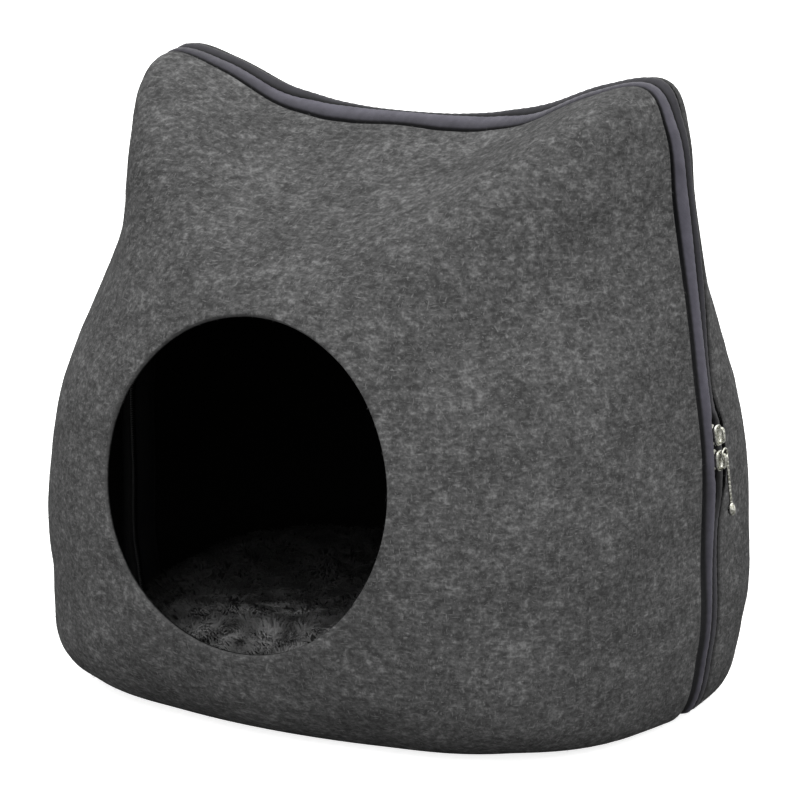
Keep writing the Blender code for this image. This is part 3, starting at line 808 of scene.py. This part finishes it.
closed_loft("puller_drop", placed(drop_rings, lower), nickel.material)
tilt = np.linspace(0.02, np.pi - 0.02, 18)
way = np.array(PULLER_DROP) / np.linalg.norm(PULLER_DROP)
knob_path = start + np.array(PULLER_DROP) - way * PULLER_KNOB * KNOB_LONG * np.cos(tilt)[:, None]
knob_wide = PULLER_KNOB * np.sin(tilt) * (1 - KNOB_PEAR * np.cos(tilt))
knob_rings = round_section(knob_path, knob_wide, 20, np.array((0, 0, 1.0)))
closed_loft("puller_knob", placed(knob_rings, lower), nickel.material)

# ---- Cushion ------------------------------------------------------------------------------------
# A loose oval pad, filled and covered in dark plush. It rests on the felt base. Its rim is higher at the
# back, and its middle is worn down a little.
CUSHION_HALF_WIDTH = 0.196
CUSHION_FRONT = 0.176
CUSHION_BACK = 0.134
CUSHION_RIM_FRONT = 0.054
CUSHION_RIM_BACK = 0.070
# How far the middle is worn down, how wide, and from which share of the height
CUSHION_DIP = 0.009
CUSHION_DIP_REACH = 0.86
CUSHION_DIP_FROM = (0.9, 1.0)
CUSHION_CORNER = 2.35
CUSHION_BASE = 0.0043
CUSHION_AROUND = 132
# It is made smaller, since the filling swells it. Then the mesh's step, the pressure, the frames that it
# runs for, and how far a point may move.
CUSHION_SHRINK = 0.978
CUSHION_VOXEL = 0.005
CUSHION_PRESSURE = 4.0
CUSHION_FRAMES = 20
CUSHION_CAP = 0.007
# Share of the plan's reach, and share of the height, from the underside over the side and rim
CUSHION_SIDE = (
    (0.0, 0.0), (0.35, 0.0), (0.76, 0.0), (0.87, 0.06), (0.955, 0.22), (1.0, 0.46), (0.985, 0.70),
    (0.94, 0.90), (0.86, 0.99), (0.74, 1.0), (0.56, 1.0), (0.34, 1.0), (0.14, 1.0), (0.0, 1.0),
)
PILE_BLADES = 58000
PILE_LENGTH = 0.0085
PILE_LENGTHS = (0.7, 1.15)
PILE_WIDTH = 0.0008
PILE_FROM = CUSHION_BASE + 0.02
# How wide the tufts are and how far their borders wander, and how wide the swirls are
PILE_TUFT = 0.0085
PILE_WANDERS = 0.004
PILE_SWIRL = 0.05
# How far a blade stands up, leans with the swirl, leans inwards at the rim, gathers to its tuft and strays,
# and the least height of its tip over its root
PILE_STANDS, PILE_LEANS, PILE_RIM_LEANS, PILE_GATHERS, PILE_STRAYS = 0.42, 0.85, 0.8, 0.30, 0.11
PILE_LIFT = 0.0015
# Its middle's place, up and towards the tip, how far it is turned, and how its shading follows the swirl
PILE_MIDDLE = (0.34, 0.35)
PILE_TURNS = 0.45
PILE_SHADING = 0.45
# How uneven its shading is, and how wide that pattern. The painted pool of light's least tone, and the same
# for it.
PILE_MOTTLE = (0.12, 0.012)
PAINTED_LIGHT_MOTTLE = (0.6, 0.5, 0.020)
# How bright the painted pool of light is on the pad
PAINTED_LIGHT_PAD = 0.7
# The middle of the painted pool of light just inside the entrance, where light falls in, and how wide it is
PILE_PAINTED_LIGHT = (-0.012, -0.118)
PILE_PAINTED_LIGHT_SIZE = (0.075, 0.060)
PLUSH_ROOT = grey(0.018)
PLUSH_TIP = grey(0.034)
# Pale tone of the painted pool of light
PLUSH_PAINTED_LIGHT = grey(0.20)


def cushion_shape():
    """Rings of the pad: the plan's superellipse times each share, under a rim that rises to the back."""
    side = softened(np.array(CUSHION_SIDE), 2)[1:-1]
    turn = np.linspace(0, 2 * np.pi, CUSHION_AROUND, endpoint=False)
    c, s = np.cos(turn), np.sin(turn)
    x = CUSHION_HALF_WIDTH * np.sign(c) * np.abs(c) ** (2 / CUSHION_CORNER)
    y = np.where(s > 0, CUSHION_BACK, CUSHION_FRONT) * np.sign(s) * np.abs(s) ** (2 / CUSHION_CORNER)
    share, height = side[:, :1], side[:, 1:]
    to_back = np.clip((y * share + CUSHION_FRONT) / (CUSHION_FRONT + CUSHION_BACK), 0, 1)
    rim = CUSHION_RIM_FRONT + (CUSHION_RIM_BACK - CUSHION_RIM_FRONT) * to_back
    dip = CUSHION_DIP * (1 - np.minimum(share / CUSHION_DIP_REACH, 1) ** 2)
    z = CUSHION_BASE + (rim - CUSHION_BASE) * height - dip * ramp(height, *CUSHION_DIP_FROM)
    return np.stack(np.broadcast_arrays(x * share, y * share, z), -1)


def painted_light_place(points):
    """1 in the middle of the painted pool of light, falling as a bell curve."""
    return np.exp(-((((points[:, :2] - PILE_PAINTED_LIGHT) / PILE_PAINTED_LIGHT_SIZE) ** 2).sum(1)))


def read_points(mesh):
    points = np.zeros(len(mesh.vertices) * 3)
    mesh.vertices.foreach_get("co", points)
    return points.reshape(-1, 3)


def applied(piece):
    """Applies a piece's modifiers to its mesh."""
    bpy.context.view_layer.update()
    graph = bpy.context.evaluated_depsgraph_get()
    mesh = bpy.data.meshes.new_from_object(piece.evaluated_get(graph))
    piece.modifiers.clear()
    old, piece.data = piece.data, mesh
    bpy.data.meshes.remove(old)


def blow_up(piece):
    """Fills the pad as cloth under pressure. No point moves further than the cap, or under the base."""
    mesh = piece.modifiers.new("even mesh", "REMESH")
    mesh.mode, mesh.voxel_size = "VOXEL", CUSHION_VOXEL
    applied(piece)
    before = read_points(piece.data)
    cloth = piece.modifiers.new("cloth", "CLOTH")
    cloth.settings.use_pressure = True
    cloth.settings.uniform_pressure_force = CUSHION_PRESSURE
    cloth.settings.effector_weights.gravity = 0
    for at in range(1, CUSHION_FRAMES + 1):
        bpy.context.scene.frame_set(at)
    applied(piece)
    bpy.context.scene.frame_set(1)
    moved = read_points(piece.data) - before
    far = np.linalg.norm(moved, axis=1, keepdims=True)
    points = before + moved * np.minimum(1, CUSHION_CAP / np.maximum(far, 1e-9))
    points[:, 2] = np.maximum(points[:, 2], CUSHION_BASE)
    piece.data.vertices.foreach_set("co", points.astype(np.float32).ravel())
    piece.modifiers.new("smooth", "SUBSURF").levels = 1
    piece.modifiers["smooth"].render_levels = 1
    applied(piece)
    piece.data.shade_smooth()


def surface_samples(piece, count, seed, keep):
    """Seeded random places, even by area, on the faces that keep(middle, normal) says, with normals."""
    mesh = piece.data
    mesh.calc_loop_triangles()
    corners = np.zeros(len(mesh.loop_triangles) * 3, int)
    mesh.loop_triangles.foreach_get("vertices", corners)
    a, b, c = read_points(mesh)[corners.reshape(-1, 3)].transpose(1, 0, 2)
    cross = np.cross(b - a, c - a)
    area = np.linalg.norm(cross, axis=1)
    normal = cross / np.maximum(area, 1e-12)[:, None]
    area = area * keep((a + b + c) / 3, normal)
    pick = np.random.default_rng(seed)
    at = np.searchsorted(np.cumsum(area), pick.uniform(0, area.sum(), count))
    u, v = pick.uniform(size=(2, count, 1))
    u, v = np.where(u + v > 1, 1 - u, u), np.where(u + v > 1, 1 - v, v)
    return a[at] + u * (b - a)[at] + v * (c - a)[at], normal[at], pick


def blades(name, root, mid, tip, wide, facing, finish):
    """Thin bent blades: two points at the root, wide from its middle, two halfway and one at the tip.

    Each is shaded as if it faced a given way, so that together they look soft.
    """
    rows = np.stack([root - wide, root + wide, mid + wide * 0.75, mid - wide * 0.75, tip], 1)
    start = (np.arange(len(root)) * 5)[:, None]
    quads = (start + np.array((0, 1, 2, 3))).tolist()
    ends = (start + np.array((3, 2, 4))).tolist()
    piece = new_piece(name, rows, quads + ends, finish)
    piece.data.normals_split_custom_set_from_vertices(np.repeat(facing, 5, 0).tolist())
    point_values(piece, "tip", np.tile((0, 0, 0.5, 0.5, 1.0), len(root)))
    return piece


plush = Finish("dark_plush", roughness=0.9, specular_ior_level=0.3)
plush_base = plush.mix(plush.attribute("tip"), PLUSH_ROOT, PLUSH_TIP)
# The tone value paints a pool of light just inside the entrance, with a little random tone on the pile
plush.colour(plush.mix(plush.attribute("tone"), plush_base, PLUSH_PAINTED_LIGHT))

rings = cushion_shape()
rings = rings * (CUSHION_SHRINK, CUSHION_SHRINK, 1)
rings[..., 2] = CUSHION_BASE + (rings[..., 2] - CUSHION_BASE) * CUSHION_SHRINK
rings = rings + (0, RIDGE_Y, 0)
cushion = closed_loft("cushion_pad", rings, plush.material)
blow_up(cushion)
point_values(cushion, "tip", np.zeros(len(cushion.data.vertices)))
# Painted light on the pad, just inside the entrance
point_values(cushion, "tone", PAINTED_LIGHT_PAD * painted_light_place(read_points(cushion.data)))
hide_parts("cushion")

root, normal, pick = surface_samples(
    cushion, PILE_BLADES, 21, lambda at, out: (out[:, 2] > 0.0) & (at[:, 2] > PILE_FROM)
)
shift = np.stack([lumps(root, PILE_SWIRL, 31), lumps(root, PILE_SWIRL, 32)], -1)
cell = np.floor((root[:, :2] + PILE_WANDERS * shift) / PILE_TUFT).astype(int)
cell -= cell.min(0)
cell = cell[:, 0] * (cell[:, 1].max() + 1) + cell[:, 1]
held = np.maximum(np.bincount(cell), 1)
tuft = np.stack([np.bincount(cell, root[:, k]) / held for k in range(3)], -1)[cell]
turn = np.pi * (lumps(root, PILE_SWIRL, 33) + 0.35 * lumps(root, 0.4 * PILE_SWIRL, 34))
lean = np.stack([np.cos(turn), np.sin(turn), 0 * turn], -1)
tall = PILE_LENGTH * pick.uniform(*PILE_LENGTHS, (len(root), 1))
inwards = np.array((0, RIDGE_Y, 0)) - root
inwards[:, 2] = 0
edge = np.clip(1 - normal[:, 2:], 0, 1)
leaning = PILE_STANDS * normal + PILE_LEANS * lean * (1 - edge) + PILE_RIM_LEANS * edge * unit(inwards)
tip = root + tall * leaning + PILE_GATHERS * (tuft - root)
tip += PILE_STRAYS * tall * pick.normal(size=root.shape)
tip[:, 2] = np.maximum(tip[:, 2], root[:, 2] + PILE_LIFT)
mid = root + PILE_MIDDLE[0] * tall * normal + PILE_MIDDLE[1] * (tip - root)
wide = unit(np.cross(tip - root, normal + PILE_TURNS * pick.normal(size=root.shape))) * PILE_WIDTH / 2
mottle = PILE_MOTTLE[0] * lumps(root, PILE_MOTTLE[1], 36)[:, None]
facing = unit(normal + PILE_SHADING * lean * (1 - edge) + mottle * unit(wide))
pile = blades("cushion_pile", root, mid, tip, wide, facing, plush.material)
least, uneven, size = PAINTED_LIGHT_MOTTLE
# Painted pool of light just inside the entrance, made uneven, plus a little random tone for each blade
shade = painted_light_place(root) * (least + uneven * lumps(root, size, 35)) + pick.uniform(-0.04, 0.04, len(root))
point_values(pile, "tone", np.repeat(np.clip(shade, 0, 1), 5))

# ---- Loose fibres -------------------------------------------------------------------------------
# Needled felt sheds: short pale and dark fibres lie loose on the outside, and a few stand off it, which
# shows at the outline.
FIBRES = 26000
FIBRE_LENGTH = 0.0030
FIBRE_LENGTHS = (0.4, 1.3)
FIBRE_WIDTH = 0.00016
FIBRE_FROM = 0.006
FIBRE_SUNK = 0.0001
# The share that stands off, how steeply those and the others do, and how far all curl aside
FIBRE_STANDING = 0.12
FIBRE_LIFTS = (0.55, 0.12)
FIBRE_CURL = 0.3
FIBRE_MIDDLE = (0.5, 0.7)
FIBRE_DARK = grey(0.035)
FIBRE_PALE = grey(0.13)

fluff = Finish("loose_felt_fibre", roughness=0.95)
fluff.colour(fluff.mix(fluff.attribute("tone"), FIBRE_DARK, FIBRE_PALE))
for name, half, seed in (("front_fibres", front, 51), ("back_fibres", back, 52)):
    middle = np.array((0, RIDGE_Y, CENTRE_Z))
    root, normal, pick = surface_samples(
        half, FIBRES, seed, lambda at, out: ((out * (at - middle)).sum(1) > 0) & (at[:, 2] > FIBRE_FROM)
    )
    way = unit(np.cross(normal, pick.normal(size=root.shape)))
    size = FIBRE_LENGTH * pick.uniform(*FIBRE_LENGTHS, (len(root), 1))
    lift = np.where(pick.uniform(size=(len(root), 1)) < FIBRE_STANDING, *FIBRE_LIFTS)
    curl = unit(np.cross(normal, way)) * pick.uniform(-FIBRE_CURL, FIBRE_CURL, (len(root), 1))
    mid = root + size * (FIBRE_MIDDLE[0] * way + FIBRE_MIDDLE[1] * lift * normal)
    tip = root + size * (way + curl + lift * normal)
    wide = unit(np.cross(tip - root, normal)) * FIBRE_WIDTH / 2
    fibres = blades(name, root - FIBRE_SUNK * normal, mid, tip, wide, normal, fluff.material)
    point_values(fibres, "tone", np.repeat(pick.uniform(0, 1, len(root)) ** 1.5, 5))

# ---- Floor, light and camera --------------------------------------------------------------------
# A white studio floor, even light from all round and three broad lamps. The camera stands in front, to the
# right and a little above.
CAMERA_PLACE = Vector((1.29018, -2.05942, 0.70991))
CAMERA_AIM = Vector((-0.00411, 0.01918, 0.18770))
FOCAL_PIXELS = 3789.3
FRAME_PIXELS = 800
SENSOR = 36.0
FLOOR_HALF = 9.0
WORLD_LIGHT = 1.08

white = Finish("studio_floor", base_color=(0.8, 0.8, 0.8, 1), roughness=0.9, emission_strength=0.8)
white.feed(white.shader.inputs["Emission Color"], (1, 1, 1, 1))
dark = Finish("studio_floor_shade", base_color=(0.26, 0.26, 0.26, 1), roughness=1.0)
# The camera sees the white floor, and the felt is lit as over a dark one
for name, height, finish, seen in (("floor", -0.0005, white, True), ("floor_shade", -0.0010, dark, False)):
    floor_mesh = bpy.data.meshes.new(name)
    corners = [(x * FLOOR_HALF, y * FLOOR_HALF, height) for x, y in ((-1, -1), (1, -1), (1, 1), (-1, 1))]
    floor_mesh.from_pydata(corners, [], [(0, 1, 2, 3)])
    floor_mesh.materials.append(finish.material)
    floor = bpy.data.objects.new(name, floor_mesh)
    floor.visible_camera, floor.visible_diffuse, floor.visible_glossy = seen, not seen, not seen
    bpy.context.scene.collection.objects.link(floor)

world = bpy.data.worlds.new("studio")
world.use_nodes = True
world.node_tree.nodes["Background"].inputs["Color"].default_value = (1, 1, 1, 1)
world.node_tree.nodes["Background"].inputs["Strength"].default_value = WORLD_LIGHT
bpy.context.scene.world = world
# Name, the way it shines, strength and spread in degrees
LIGHTS = (
    ("front", (-0.1, 1, -1), 1.02, 60),
    ("right", (-1, 0.5, -1.2), 0.72, 60),
    ("back", (-0.2, -0.4, -1), 0.70, 60),
)
for name, way, strength, spread in LIGHTS:
    lamp = bpy.data.lights.new(name, "SUN")
    lamp.energy, lamp.angle = strength, np.radians(spread)
    light = bpy.data.objects.new(name, lamp)
    light.rotation_euler = Vector(way).to_track_quat("-Z", "Y").to_euler()
    bpy.context.scene.collection.objects.link(light)

lens = bpy.data.cameras.new("camera")
lens.sensor_width = SENSOR
lens.lens = FOCAL_PIXELS / FRAME_PIXELS * SENSOR
lens.clip_start, lens.clip_end = 0.1, 40
camera = bpy.data.objects.new("camera", lens)
camera.location = CAMERA_PLACE
camera.rotation_euler = (CAMERA_AIM - CAMERA_PLACE).to_track_quat("-Z", "Y").to_euler()
bpy.context.scene.collection.objects.link(camera)
bpy.context.scene.camera = camera
bpy.context.scene.view_settings.view_transform = "Standard"
